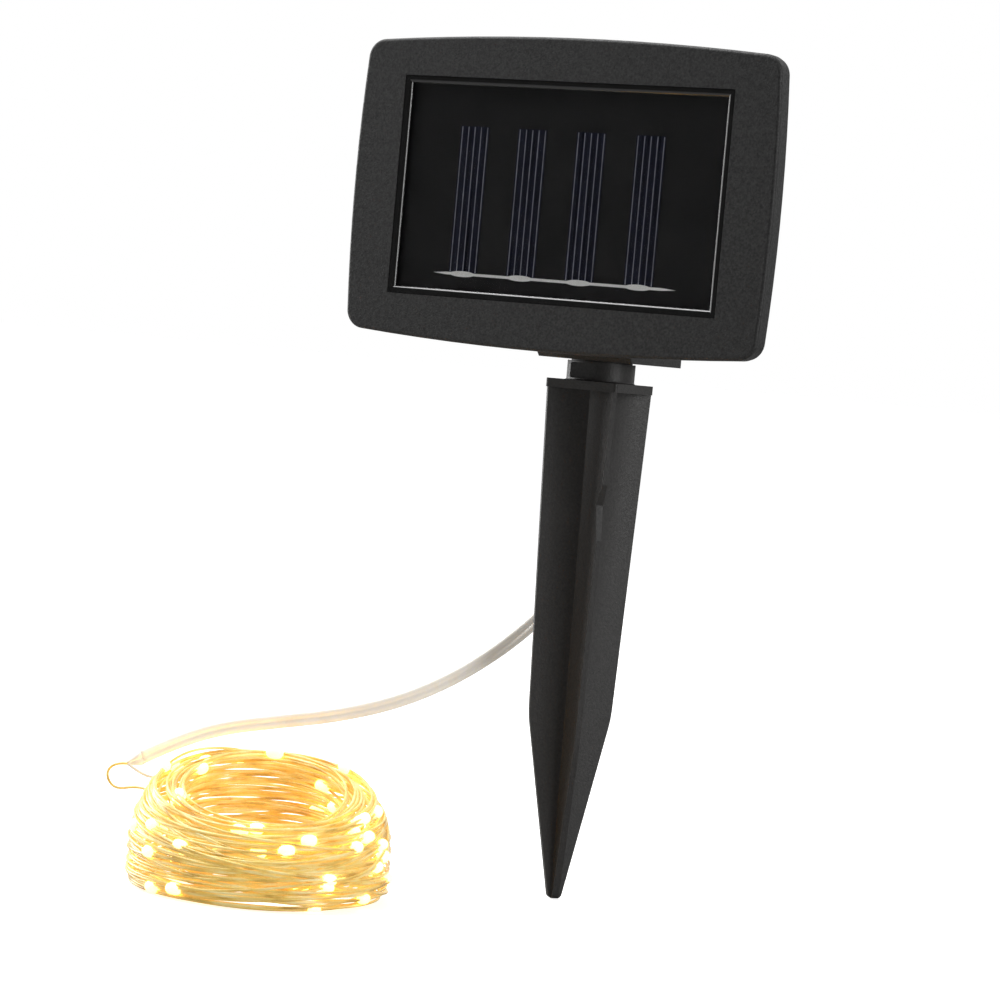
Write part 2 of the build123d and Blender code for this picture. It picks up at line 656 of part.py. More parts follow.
LEAF_X = -CELL_LENGTH / 2 - 0.05
PLATE_X = MINUS_RIB[1]
with BuildPart() as minus_contact:
    with BuildSketch(facing_front(CONTACT_Y[1])):
        with BuildLine():
            Polyline(
                (PLATE_X, CONTACT_LOW),
                (PLATE_X, CELL_Z + 4),
                (PLATE_X + 0.4, CELL_Z + 4),
                (LEAF_X, CELL_Z + 0.6),
                (LEAF_X, CELL_Z - 0.6),
                (PLATE_X + 0.8, CELL_Z - 5),
                (PLATE_X + 0.5, CELL_Z - 5),
                (LEAF_X - 0.4, CELL_Z - 0.6),
                (LEAF_X - 0.4, CELL_Z + 0.4),
                (PLATE_X + 0.4, CELL_Z + 3),
                (PLATE_X + 0.4, CONTACT_LOW),
                close=True,
            )
        make_face()
    extrude(amount=CONTACT_Y[1] - CONTACT_Y[0])
minus_contact.part.label = "minus_contact"
export_step(minus_contact.part, "parts/minus_contact.step")

# ---------------------------------------------------------------- head: electronics
PCB_X = (16.0, 52.0)
PCB_Z = (168.0, 200.0)
with BuildPart() as circuit_board:
    block(PCB_X, (PCB_FRONT_Y, PCB_BACK_Y), PCB_Z)
    for x, z in BOARD_POSTS:
        rod(x, z, 1.1, PCB_FRONT_Y - 1, PCB_BACK_Y + 1, Mode.SUBTRACT)
circuit_board.part.label = "circuit_board"
export_step(circuit_board.part, "parts/circuit_board.step")

with BuildPart() as board_screws:
    for x, z in BOARD_POSTS:
        rod(x, z, 0.8, PCB_FRONT_Y, INNER_BACK_Y - 1.2)
        rod(x, z, 1.6, PCB_FRONT_Y - 1.2, PCB_FRONT_Y)
board_screws.part.label = "board_screws"
export_step(board_screws.part, "parts/board_screws.step")

with BuildPart() as controller_chip:
    block((27, 32), (PCB_BACK_Y, PCB_BACK_Y + 1.5), (182, 188))
controller_chip.part.label = "controller_chip"
export_step(controller_chip.part, "parts/controller_chip.step")

with BuildPart() as boost_inductor:
    rod(25.0, 194.0, 2.8, PCB_BACK_Y, PCB_BACK_Y + 3.0)
boost_inductor.part.label = "boost_inductor"
export_step(boost_inductor.part, "parts/boost_inductor.step")

with BuildPart() as mode_switch:
    block(
        (CONTROL_X - 3, CONTROL_X + 3),
        (PCB_BACK_Y, PCB_BACK_Y + 3.0),
        (BUTTON_Z - 3, BUTTON_Z + 3),
    )
    rod(CONTROL_X, BUTTON_Z, 1.6, PCB_BACK_Y + 3.0, PCB_BACK_Y + 3.5)
mode_switch.part.label = "mode_switch"
export_step(mode_switch.part, "parts/mode_switch.step")

SWITCH_BACK_Y = -19.6
with BuildPart() as power_switch:
    block(
        (CONTROL_X - 4.3, CONTROL_X + 4.3),
        (PCB_BACK_Y, SWITCH_BACK_Y),
        (SLIDER_Z - 5.0, SLIDER_Z + SLIDER_TRAVEL + 5.0),
    )
    block(
        (CONTROL_X - 1.1, CONTROL_X + 1.1),
        (SWITCH_BACK_Y - 1.4, SWITCH_BACK_Y + 1),
        (SLIDER_Z - 1.3, SLIDER_Z + SLIDER_TRAVEL + 1.3),
        Mode.SUBTRACT,
    )
power_switch.part.label = "power_switch"
export_step(power_switch.part, "parts/power_switch.step")

KEEPER_Y = (INNER_BACK_Y - 1.0, INNER_BACK_Y - 0.1)
with BuildPart() as mode_button:
    rod(CONTROL_X, BUTTON_Z, BUTTON_RADIUS, KEEPER_Y[1], OUTER_BACK_Y + 1.4)
    fillet(mode_button.edges().sort_by(Axis.Y)[-1], 0.6)
    rod(CONTROL_X, BUTTON_Z, BUTTON_RADIUS + 0.8, *KEEPER_Y)
mode_button.part.label = "mode_button"
export_step(mode_button.part, "parts/mode_button.step")

with BuildPart() as power_slider:
    knob_back_y = OUTER_BACK_Y + 1.0
    block(
        (CONTROL_X - 2, CONTROL_X + 2),
        (KEEPER_Y[1], knob_back_y),
        (SLIDER_Z - 2.3, SLIDER_Z + 2.3),
    )
    # Grip ridges
    for i in range(3):
        z = SLIDER_Z - 1.5 + 1.2 * i
        block(
            (CONTROL_X - 3, CONTROL_X + 3),
            (knob_back_y - 0.4, knob_back_y + 1),
            (z, z + 0.6),
            Mode.SUBTRACT,
        )
    block((CONTROL_X - 3.4, CONTROL_X + 3.4), KEEPER_Y, (SLIDER_Z - 4, SLIDER_Z + 4))
    # Tongue that reaches into the switch
    block(
        (CONTROL_X - 0.8, CONTROL_X + 0.8),
        (SWITCH_BACK_Y - 1.1, KEEPER_Y[0]),
        (SLIDER_Z - 1, SLIDER_Z + 1),
    )
power_slider.part.label = "power_slider"
export_step(power_slider.part, "parts/power_slider.step")


# ---------------------------------------------------------------- wires inside the head
def wire_along(route, radius):
    """Round wire along straight runs joined by tangent arcs, added to the part in progress."""
    with BuildLine() as path:
        if len(route) == 2:
            Line(*route)
        else:
            FilletPolyline(*route, radius=corner_radii(route))
    line = path.line
    with BuildSketch(Plane(origin=line @ 0, z_dir=line % 0)) as section:
        Circle(radius)
    sweep(section.sketch, path=line)
    return sum(edge.length for edge in line.edges())


with BuildPart() as panel_wires:
    for z in (187.0, 190.0):
        wire_along(
            [(13, BOARD_BACK_Y, z), (13, -21.2, z), (19, -21.2, z), (19, PCB_BACK_Y, z)],
            THIN_WIRE_RADIUS,
        )
panel_wires.part.label = "panel_wires"
export_step(panel_wires.part, "parts/panel_wires.step")

WIRE_START_Y = -13.6
with BuildPart() as battery_wires:
    wire_along(
        [
            (PLUS_WIRE_X, WIRE_START_Y, BATTERY_WIRE_Z),
            (PLUS_WIRE_X, PCB_BACK_Y, BATTERY_WIRE_Z),
        ],
        THIN_WIRE_RADIUS,
    )
    wire_along(
        [
            (MINUS_WIRE_X, WIRE_START_Y, BATTERY_WIRE_Z),
            (MINUS_WIRE_X, -20.2, BATTERY_WIRE_Z),
            (19, -20.2, BATTERY_WIRE_Z - 2),
            (19, PCB_BACK_Y, BATTERY_WIRE_Z - 2),
        ],
        THIN_WIRE_RADIUS,
    )
battery_wires.part.label = "battery_wires"
export_step(battery_wires.part, "parts/battery_wires.step")

GLAND_HIGH = BLOCK_LOW + 3.2
INNER_LEAD_ROUTE = [
    (GLAND_X, GLAND_Y, GLAND_HIGH),
    (GLAND_X, GLAND_Y, 150.0),
    (-9.0, 10.0, 156.0),
    (-9.5, 0.0, 164.0),
    (-4.0, -12.0, 166.0),
    (9.0, -20.2, 167.5),
    (20.0, -20.6, 171.0),
    (20.0, PCB_BACK_Y, 171.0),
]
with BuildPart() as inner_lead:
    wire_along(INNER_LEAD_ROUTE, 1.0)
inner_lead.part.label = "inner_lead"
export_step(inner_lead.part, "parts/inner_lead.step")

with BuildPart() as cable_gland:
    with BuildSketch(Plane.XZ.offset(-GLAND_Y)):
        with BuildLine():
            Polyline(
                (GLAND_X, GLAND_LOW),
                (GLAND_X + 2.4, GLAND_LOW),
                (GLAND_X + 2.9, BLOCK_LOW - 0.9),
                (GLAND_X + 3.8, BLOCK_LOW - 0.9),
                (GLAND_X + 3.8, BLOCK_LOW),
                (GLAND_X + 2.85, BLOCK_LOW),
                (GLAND_X + 2.85, GLAND_HIGH),
                (GLAND_X, GLAND_HIGH),
                close=True,
            )
        make_face()
    revolve(axis=Axis((GLAND_X, GLAND_Y, 0), (0, 0, 1)))
cable_gland.part.label = "cable_gland"
export_step(cable_gland.part, "parts/cable_gland.step")

# ---------------------------------------------------------------- lead, joint and light wire
with BuildPart() as lead_cable:
    lead_length = wire_along(LEAD_ROUTE, LEAD_DIAMETER / 2)
lead_cable.part.label = "lead_cable"
export_step(lead_cable.part, "parts/lead_cable.step")
report_tube("lead_cable", LEAD_ROUTE, lead_cable.part, lead_length, pi * LEAD_DIAMETER**2 / 4)

lead_end = Vector(*LEAD_ROUTE[-1])
lead_heading = (lead_end - Vector(*LEAD_ROUTE[-2])).normalized()
with BuildPart() as wire_joint:
    with BuildSketch(Plane(origin=lead_end, z_dir=lead_heading)):
        Circle(LEAD_DIAMETER / 2)
    with BuildSketch(Plane(origin=lead_end + lead_heading * 4.0, z_dir=lead_heading)):
        Circle(0.9)
    loft()
wire_joint.part.label = "wire_joint"
export_step(wire_joint.part, "parts/wire_joint.step")

wire_route = [tuple(lead_end + lead_heading * 4.0)] + WIRE_ROUTE
with BuildPart() as string_lead:
    wire_length = wire_along(wire_route, WIRE_DIAMETER / 2)
string_lead.part.label = "string_lead"
export_step(string_lead.part, "parts/string_lead.step")
report_tube("string_lead", wire_route, string_lead.part, wire_length, pi * WIRE_DIAMETER**2 / 4)

coil_heading = radians(COIL_SLOPE_HEADING)
slope = radians(COIL_SLOPE)
downhill = Vector(cos(coil_heading) * cos(slope), sin(coil_heading) * cos(slope), -sin(slope))
coil_top = Plane(
    origin=(*COIL_CENTRE, COIL_MIDDLE_HEIGHT),
    x_dir=downhill,
    z_dir=Vector(cos(coil_heading) * sin(slope), sin(coil_heading) * sin(slope), cos(slope)),
)
with BuildPart() as light_coil:
    with BuildSketch(Plane.XZ.offset(-COIL_CENTRE[1])):
        with BuildLine():
            inner = COIL_CENTRE[0] + COIL_BORE_RADIUS
            foot = COIL_CENTRE[0] + COIL_FOOT_RADIUS
            shoulder = COIL_CENTRE[0] + COIL_SHOULDER_RADIUS
            Polyline(
                (foot, 0),
                (inner, 0),
                (inner, COIL_BACK_HEIGHT),
                (shoulder, COIL_BACK_HEIGHT),
            )
            ThreePointArc(
                (shoulder, COIL_BACK_HEIGHT),
                (COIL_CENTRE[0] + COIL_RADIUS, COIL_WIDEST_HEIGHT),
                (foot, 0),
            )
        make_face()
    revolve(axis=Axis((*COIL_CENTRE, 0), (0, 0, 1)))
    split(bisect_by=coil_top, keep=Keep.BOTTOM)
light_coil.part.label = "light_coil"
export_step(light_coil.part, "parts/light_coil.step")
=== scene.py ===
"""Looks of the solar string lights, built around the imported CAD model. Metres, +Z up."""
import math
import random

import bpy
from mathutils import Matrix, Vector


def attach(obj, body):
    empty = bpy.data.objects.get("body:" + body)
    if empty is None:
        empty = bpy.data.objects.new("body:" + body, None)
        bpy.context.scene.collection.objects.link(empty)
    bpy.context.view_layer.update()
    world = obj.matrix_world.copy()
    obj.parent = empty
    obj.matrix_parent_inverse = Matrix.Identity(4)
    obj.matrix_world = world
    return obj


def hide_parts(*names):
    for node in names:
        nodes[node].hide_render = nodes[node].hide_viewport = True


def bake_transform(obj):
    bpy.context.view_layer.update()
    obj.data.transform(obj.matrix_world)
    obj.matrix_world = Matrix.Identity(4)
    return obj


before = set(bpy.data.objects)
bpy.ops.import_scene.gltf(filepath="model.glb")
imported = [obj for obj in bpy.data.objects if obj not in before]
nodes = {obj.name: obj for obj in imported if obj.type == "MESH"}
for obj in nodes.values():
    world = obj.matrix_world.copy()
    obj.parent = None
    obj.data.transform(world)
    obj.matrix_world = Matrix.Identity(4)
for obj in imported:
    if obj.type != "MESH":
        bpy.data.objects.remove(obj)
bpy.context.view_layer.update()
random.seed(7)

# ---------------------------------------------------------------- camera
CAMERA_PLACE = Vector((0.4305, -0.8072, 0.1408))
CAMERA_AZIMUTH = math.radians(29.53)
CAMERA_ELEVATION = math.radians(2.37)
CAMERA_ROLL = math.radians(5.13)
CAMERA_LENS = 126.0


def make_camera():
    """A long lens from the front right, a little above the object, rolled as the photograph is."""
    flat = math.cos(CAMERA_ELEVATION)
    back = Vector((
        math.sin(CAMERA_AZIMUTH) * flat,
        -math.cos(CAMERA_AZIMUTH) * flat,
        math.sin(CAMERA_ELEVATION),
    ))
    level_right = Vector((math.cos(CAMERA_AZIMUTH), math.sin(CAMERA_AZIMUTH), 0))
    level_up = back.cross(level_right)
    right = level_right * math.cos(CAMERA_ROLL) + level_up * math.sin(CAMERA_ROLL)
    up = level_up * math.cos(CAMERA_ROLL) - level_right * math.sin(CAMERA_ROLL)
    data = bpy.data.cameras.new("camera")
    data.lens = CAMERA_LENS
    data.sensor_width = 36.0
    data.clip_start = 0.05
    camera = bpy.data.objects.new("camera", data)
    bpy.context.scene.collection.objects.link(camera)
    turn = Matrix((right, up, back)).transposed().to_4x4()
    camera.matrix_world = Matrix.Translation(CAMERA_PLACE) @ turn
    bpy.context.scene.camera = camera


# ---------------------------------------------------------------- materials
def node_material(name, **sockets):
    """New material with plain values for its Principled shader. Returns it, its tree and shader."""
    made = bpy.data.materials.new(name)
    made.use_nodes = True
    tree = made.node_tree
    shader = tree.nodes["Principled BSDF"]
    for socket, value in sockets.items():
        shader.inputs[socket.replace("_", " ")].default_value = value
    return made, tree, shader


def noise(tree, scale, detail=3.0, stretch=(1, 1, 1)):
    """Noise in object space. Returns its value output."""
    coordinates = tree.nodes.new("ShaderNodeTexCoord")
    mapping = tree.nodes.new("ShaderNodeMapping")
    mapping.inputs["Scale"].default_value = stretch
    texture = tree.nodes.new("ShaderNodeTexNoise")
    texture.inputs["Scale"].default_value = scale
    texture.inputs["Detail"].default_value = detail
    tree.links.new(coordinates.outputs["Object"], mapping.inputs["Vector"])
    tree.links.new(mapping.outputs["Vector"], texture.inputs["Vector"])
    return texture.outputs["Fac"]


def ramp(tree, value, stops):
    """Colour ramp from value; stops are (position, colour). Returns its colour output."""
    node = tree.nodes.new("ShaderNodeValToRGB")
    points = node.color_ramp.elements
    while len(points) < len(stops):
        points.new(0.5)
    for point, (position, colour) in zip(points, stops):
        point.position = position
        point.color = (*colour, 1)
    tree.links.new(value, node.inputs["Fac"])
    return node.outputs["Color"]


def remap(tree, value, low, high):
    """The noise value's usual range, 0.3 to 0.7, mapped to low..high."""
    node = tree.nodes.new("ShaderNodeMapRange")
    node.inputs["From Min"].default_value = 0.3
    node.inputs["From Max"].default_value = 0.7
    node.inputs["To Min"].default_value = low
    node.inputs["To Max"].default_value = high
    tree.links.new(value, node.inputs["Value"])
    return node.outputs["Result"]


def relief(tree, shader, value, depth):
    """Bump of that depth in metres from value."""
    bump = tree.nodes.new("ShaderNodeBump")
    bump.inputs["Distance"].default_value = depth
    bump.inputs["Strength"].default_value = 1.0
    tree.links.new(value, bump.inputs["Height"])
    tree.links.new(bump.outputs["Normal"], shader.inputs["Normal"])


def surface(name, dark, light, mottle, roughness, grain, depth, stretch=(1, 1, 1), **sockets):
    """Mottled colour from dark to light, uneven roughness and a fine relief.

    mottle and grain are noise scales per metre, roughness is (low, high), depth is in metres.
    """
    made, tree, shader = node_material(name, **sockets)
    patches = noise(tree, mottle, stretch=stretch)
    colour = ramp(tree, patches, [(0.3, dark), (0.7, light)])
    tree.links.new(colour, shader.inputs["Base Color"])
    fine = noise(tree, grain, stretch=stretch)
    tree.links.new(remap(tree, fine, *roughness), shader.inputs["Roughness"])
    relief(tree, shader, fine, depth)
    return made


def grey(value):
    return (value, value, value)


def make_materials():
    """Every material by name."""
    warm = (0.029, 0.027, 0.0255)
    made = {
        "head_plastic": surface(
            "head_plastic", grey(0.003), grey(0.029), 1800, (0.46, 0.66), 2300, 0.00010,
        ),
        "stake_plastic": surface(
            "stake_plastic", (0.017, 0.016, 0.0152), warm, 1500, (0.42, 0.56), 1900, 0.00006,
        ),
        "trim_gloss": surface(
            "trim_gloss", grey(0.010), grey(0.014), 300, (0.08, 0.16), 900, 0.000006,
            Coat_Weight=0.6, Coat_Roughness=0.06,
        ),
        "panel_board": surface(
            "panel_board", (0.0220, 0.0200, 0.0205), (0.0300, 0.0275, 0.0282), 60,
            (0.35, 0.5), 1200, 0.00001, Specular_IOR_Level=0.15,
        ),
        "silicon": surface(
            "silicon", (0.004, 0.005, 0.018), (0.018, 0.020, 0.046), 900,
            (0.25, 0.4), 900, 0.00001, stretch=(1, 1, 0.03), Specular_IOR_Level=0.2,
        ),
        "finger_silver": surface(
            "finger_silver", (0.30, 0.30, 0.36), (0.42, 0.42, 0.50), 500, (0.3, 0.5), 1500, 0.00001,
        ),
        # Solder: the near-white non-metal colour lifts the tin's own pale tone, and its weak glow
        # is painted light that stands in for the tin's shine
        "solder": surface(
            "solder", (0.92, 0.90, 0.86), (0.98, 0.97, 0.94), 300, (0.18, 0.34), 900, 0.00001,
            Emission_Color=(1.0, 0.98, 0.94, 1), Emission_Strength=0.12,
        ),
        "rubber": surface(
            "rubber", grey(0.012), grey(0.024), 500, (0.6, 0.8), 1600, 0.00003,
        ),
        "screw_steel": surface(
            "screw_steel", grey(0.38), grey(0.55), 900, (0.25, 0.4), 2000, 0.00001,
            stretch=(1, 1, 5), Metallic=1.0,
        ),
        "cell_jacket": surface(
            "cell_jacket", (0.02, 0.12, 0.06), (0.03, 0.18, 0.09), 90, (0.2, 0.3), 500, 0.00001,
            Coat_Weight=0.5,
        ),
        "contact_metal": surface(
            "contact_metal", (0.5, 0.48, 0.42), (0.68, 0.66, 0.60), 600, (0.15, 0.3), 1500, 0.00001,
            Metallic=1.0,
        ),
        "circuit": surface(
            "circuit", (0.008, 0.06, 0.025), (0.012, 0.10, 0.04), 250, (0.3, 0.45), 1200, 0.00002,
        ),
        "chip": surface(
            "chip", grey(0.012), grey(0.022), 1500, (0.5, 0.65), 2500, 0.00001,
        ),
        "ferrite": surface(
            "ferrite", grey(0.03), grey(0.055), 900, (0.6, 0.75), 1800, 0.00004,
        ),
        "control": surface(
            "control", grey(0.055), grey(0.085), 900, (0.35, 0.5), 2000, 0.00003,
        ),
        "wire_red": surface(
            "wire_red", (0.32, 0.02, 0.015), (0.45, 0.03, 0.02), 200, (0.3, 0.45), 900, 0.00001,
        ),
        "lead": lead_material(),
        "gold_wire": gold_wire_material(),
        "lamp": lamp_material(),
        "pane": pane_material(),
    }
    return made


def lead_material():
    """Glossy ivory insulation with a weak painted glow: emission all over lifts it brighter than
    the lights alone make it.
    """
    made, tree, shader = node_material(
        "lead_insulation", IOR=1.5, Coat_Weight=0.5, Coat_Roughness=0.12,
        # Painted light: this glow stands in for lamp and studio light on the insulation
        Emission_Color=(1.0, 0.96, 0.88, 1), Emission_Strength=0.20,
    )
    colour = ramp(
        tree, noise(tree, 160),
        [(0.3, (0.86, 0.82, 0.73)), (0.7, (0.95, 0.93, 0.88))],
    )
    tree.links.new(colour, shader.inputs["Base Color"])
    fine = noise(tree, 700)
    tree.links.new(remap(tree, fine, 0.2, 0.36), shader.inputs["Roughness"])
    relief(tree, shader, fine, 0.00004)
    return made


def gold_wire_material():
    """Lacquered gold-coloured wire whose colour changes along its length, with a weak painted glow
    that stands in for the lamps' light scattered through the coil.
    """
    made, tree, shader = node_material(
        "gold_wire", Coat_Weight=0.5, Coat_Roughness=0.15, Emission_Strength=0.26,
    )
    along = tree.nodes.new("ShaderNodeAttribute")
    along.attribute_name = "along"
    streaks = tree.nodes.new("ShaderNodeTexNoise")
    streaks.inputs["Scale"].default_value = 70
    streaks.inputs["Detail"].default_value = 3
    tree.links.new(along.outputs["Vector"], streaks.inputs["Vector"])
    colour = ramp(
        tree, streaks.outputs["Fac"],
        [(0.34, (0.52, 0.31, 0.06)), (0.48, (0.90, 0.63, 0.16)), (0.66, (0.98, 0.84, 0.42))],
    )
    tree.links.new(colour, shader.inputs["Base Color"])
    # The glow takes the wire's colour: painted light, not a lamp
    tree.links.new(colour, shader.inputs["Emission Color"])
    fine = noise(tree, 1800)
    tree.links.new(remap(tree, fine, 0.22, 0.4), shader.inputs["Roughness"])
    relief(tree, shader, fine, 0.00003)
    return made


LAMP_GLOW = 12.0


def lamp_material():
    """Resin drop lit from inside: hottest in its middle."""
    made, tree, shader = node_material(
        "lamp_resin", Roughness=0.12, IOR=1.5, Emission_Strength=LAMP_GLOW,
    )
    heat = tree.nodes.new("ShaderNodeAttribute")
    heat.attribute_name = "heat"
    glow = ramp(
        tree, heat.outputs["Fac"],
        [(0.0, (0.42, 0.22, 0.05)), (0.45, (1.0, 0.74, 0.36)), (1.0, (1.0, 0.93, 0.76))],
    )
    tree.links.new(glow, shader.inputs["Emission Color"])
    colour = ramp(tree, noise(tree, 900), [(0.3, (0.9, 0.78, 0.5)), (0.7, (0.98, 0.92, 0.75))])
    tree.links.new(colour, shader.inputs["Base Color"])
    return made


def pane_material():
    """Clear pane with a faint uneven polish."""
    made, tree, shader = node_material(
        "window_pane", Base_Color=(0.93, 0.94, 0.95, 1), Transmission_Weight=1.0, IOR=1.45,
    )
    polish = remap(tree, noise(tree, 40), 0.015, 0.05)
    tree.links.new(polish, shader.inputs["Roughness"])
    return made


CAD_LOOKS = {
    "ground_stake": "stake_plastic",
    "friction_ring": "rubber",
    "front_bezel": "head_plastic",
    "window_trim": "trim_gloss",
    "clear_pane": "pane",
    "solar_board": "panel_board",
    "solar_cells": "silicon",
    "cell_fingers": "finger_silver",
    "busbar_ribbon": "solder",
    "solder_joints": "solder",
    "rear_shell": "head_plastic",
    "housing_seal": "rubber",
    "housing_screws": "screw_steel",
    "door_seal": "rubber",
    "battery_door": "head_plastic",
    "door_screws": "screw_steel",
    "battery_cell": "cell_jacket",
    "plus_contact": "contact_metal",
    "minus_contact": "contact_metal",
    "circuit_board": "circuit",
    "board_screws": "screw_steel",
    "controller_chip": "chip",
    "boost_inductor": "ferrite",
    "mode_switch": "chip",
    "power_switch": "chip",
    "mode_button": "control",
    "power_slider": "control",
    "panel_wires": "wire_red",
    "battery_wires": "wire_red",
    "inner_lead": "lead",
    "cable_gland": "rubber",
}


def dress_cad_nodes(looks):
    for node, look in CAD_LOOKS.items():
        slots = nodes[node].data.materials
        slots.clear()
        slots.append(looks[look])


# ---------------------------------------------------------------- cord routes
WIRE_DIAMETER = 0.0007
LEAD_ROUTE = [
    (-0.0030, 0.0150, 0.1366),
    (-0.0030, 0.0150, 0.1180),
    (-0.0058, 0.0176, 0.0980),
    (-0.0120, 0.0152, 0.0800),
    (-0.0207, 0.0061, 0.0665),
    (-0.0307, -0.0047, 0.0555),
    (-0.0422, -0.0147, 0.0475),
    (-0.0547, -0.0252, 0.0425),
    (-0.0676, -0.0348, 0.0396),
    (-0.0794, -0.0444, 0.0368),
    (-0.0876, -0.0542, 0.0322),
    (-0.0920, -0.0612, 0.0282),
]
WIRE_ROUTE = [
    (-0.0966, -0.0662, 0.0266),
    (-0.0982, -0.0680, 0.0236),
    (-0.0952, -0.0678, 0.0198),
    (-0.0898, -0.0658, 0.0212),
    (-0.0856, -0.0649, 0.0207),
]
# The second strand goes straight from the joint into the coil
BRANCH_ROUTE = [
    (-0.0914, -0.0630, 0.0246),
    (-0.0881, -0.0612, 0.0233),
    (-0.0852, -0.0595, 0.0247),
    (-0.0805, -0.0545, 0.0250),
]
JOINT_LENGTH = 0.004
JOINT_STEPS = 10
# The joint's sleeve is a little wider than the lead at first, then drawn in, and rounded between
SLEEVE_SCALE = 1.06
SLEEVE_DRAWN_IN = 0.66
SLEEVE_ROUNDING = 0.45
SLEEVE_ROUNDED_STEPS = 8


def spline_object(name, route, radius, resolution):
    """Curve object of one smooth open spline with route as its control points, in metres."""
    curve = bpy.data.curves.new(name, "CURVE")
    curve.dimensions = "3D"
    curve.resolution_u = resolution
    curve.bevel_depth = radius
    curve.bevel_resolution = 2
    curve.use_fill_caps = True
    spline = curve.splines.new("NURBS")
    spline.points.add(len(route) - 1)
    for point, place in zip(spline.points, route):
        point.co = (*place, 1)
    spline.order_u = 3
    spline.use_endpoint_u = True
    return bpy.data.objects.new(name, curve)


def line_of(route, resolution):
    """Points read from the smooth spline of that route."""
    bare = spline_object("line", route, 0, resolution)
    mesh = bpy.data.meshes.new_from_object(bare)
    points = [vertex.co.copy() for vertex in mesh.vertices]
    bpy.data.meshes.remove(mesh)
    bpy.data.curves.remove(bare.data)
    return points


def show(piece, material, body):
    """Put a new piece in the scene, in that material, on that body."""
    bpy.context.scene.collection.objects.link(piece)
    piece.data.materials.append(material)
    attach(piece, body)


# ---------------------------------------------------------------- lead: flat twin cable
SECTION_POINTS = 28
CORE_SPACING = 0.0019
CORE_RADIUS = 0.00095
WEB_HALF_THICKNESS = 0.00042
# Where the lead turns onto its edge, as shares of its length
TWIST_START = 0.12
TWIST_SPAN = 0.35


def twin_section():
    """Outline of two round cores joined by a thin web, as (across, out) in metres."""
    outline = []
    for i in range(SECTION_POINTS):
        angle = 2 * math.pi * i / SECTION_POINTS
        side = 1 if math.cos(angle) >= 0 else -1
        across = (CORE_SPACING / 2 + CORE_RADIUS) * math.cos(angle)
        from_core = across - side * CORE_SPACING / 2
        out = math.sqrt(max(CORE_RADIUS**2 - from_core**2, 0))
        out = max(out, WEB_HALF_THICKNESS if abs(across) < CORE_SPACING / 2 else 0)
        outline.append((across, math.copysign(out, math.sin(angle))))
    return outline


def tube_mesh(name, line, sections, wide_way):
    """Mesh tube along line, with one closed section for each point of it.

    A section's points are (across, out), and across runs along wide_way(i) at point i.
    """
    vertices = []
    faces = []
    count = len(sections[0])
    for i, place in enumerate(line):
        ahead = (line[min(i + 1, len(line) - 1)] - line[max(i - 1, 0)]).normalized()
        wide = wide_way(i)
        wide = (wide - ahead * wide.dot(ahead)).normalized()
        thick = ahead.cross(wide)
        for across, out in sections[i]:
            vertices.append(place + wide * across + thick * out)
    for i in range(len(line) - 1):
        for j in range(count):
            k = (j + 1) % count
            here = i * count
            faces.append((here + j, here + k, here + count + k, here + count + j))
    faces.append(tuple(reversed(range(count))))
    last = (len(line) - 1) * count
    faces.append(tuple(range(last, last + count)))
    mesh = bpy.data.meshes.new(name)
    mesh.from_pydata(vertices, [], faces)
    mesh.update()
    mesh.shade_smooth()
    return bpy.data.objects.new(name, mesh)


def smooth_step(value):
    """Smooth rise from 0 to 1."""
    value = min(max(value, 0.0), 1.0)
    return value * value * (3 - 2 * value)


def lead_wide_way(share):
    """Flat against the stake at the top, and on its edge along the lower stretch."""
    turned = smooth_step((share - TWIST_START) / TWIST_SPAN)
    return Vector((-1, 0, 0)).lerp(Vector((0.1, 0.1, 1)), turned)


def make_lead(looks):
    """The lead and the sleeve on its end. Returns the sleeve's tip, where the wires start."""
    line = line_of(LEAD_ROUTE, 14)
    section = twin_section()
    last = len(line) - 1
    lead = tube_mesh(
        "flat_twin_lead", line, [section] * len(line), lambda i: lead_wide_way(i / last)
    )
    bpy.context.scene.collection.objects.link(lead)
    lead.data.materials.append(looks["lead"])
    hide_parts("lead_cable")
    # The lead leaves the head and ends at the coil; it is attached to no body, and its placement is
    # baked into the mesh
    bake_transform(lead)

    heading = (line[-1] - line[-2]).normalized()
    joint_line = [
        line[-1] + heading * JOINT_LENGTH * i / JOINT_STEPS for i in range(JOINT_STEPS + 1)
    ]
    sections = []
    for i in range(JOINT_STEPS + 1):
        scale = SLEEVE_SCALE - SLEEVE_DRAWN_IN * smooth_step(i / JOINT_STEPS)
        rounding = 1 + SLEEVE_ROUNDING * math.sin(math.pi * min(i / SLEEVE_ROUNDED_STEPS, 1))
        sections.append([(across * scale, out * scale * rounding) for across, out in section])
    joint = tube_mesh("lead_end_sleeve", joint_line, sections, lambda i: lead_wide_way(1.0))
    show(joint, looks["lead"], "stake")
    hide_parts("wire_joint")
    return joint_line[-1]


# ---------------------------------------------------------------- light wire and lamps
COIL_CENTRE = Vector((-0.0510, -0.0645, 0.0))
COIL_BORE_RADIUS = 0.0212
COIL_WIDEST_RADIUS = 0.0348
COIL_FOOT_RADIUS = 0.0342
COIL_SHOULDER_RADIUS = 0.0288
COIL_WIDEST_SHARE = 0.40
COIL_MIDDLE_HEIGHT = 0.0263
COIL_SLOPE = math.radians(13.0)
COIL_SLOPE_HEADING = math.radians(-60.5)
FIRST_HEADING = math.radians(172.0)
POINTS_PER_TURN = 14
# Layers of the bundle: (places for turns, range across, range up), as shares
LAYERS = [
    (57, (0.90, 1.0), (0.0, 1.0)),
    (36, (0.0, 0.14), (0.1, 1.0)),
    (16, (0.1, 0.95), (0.88, 1.0)),
    (9, (0.7, 1.0), (0.0, 0.12)),
]
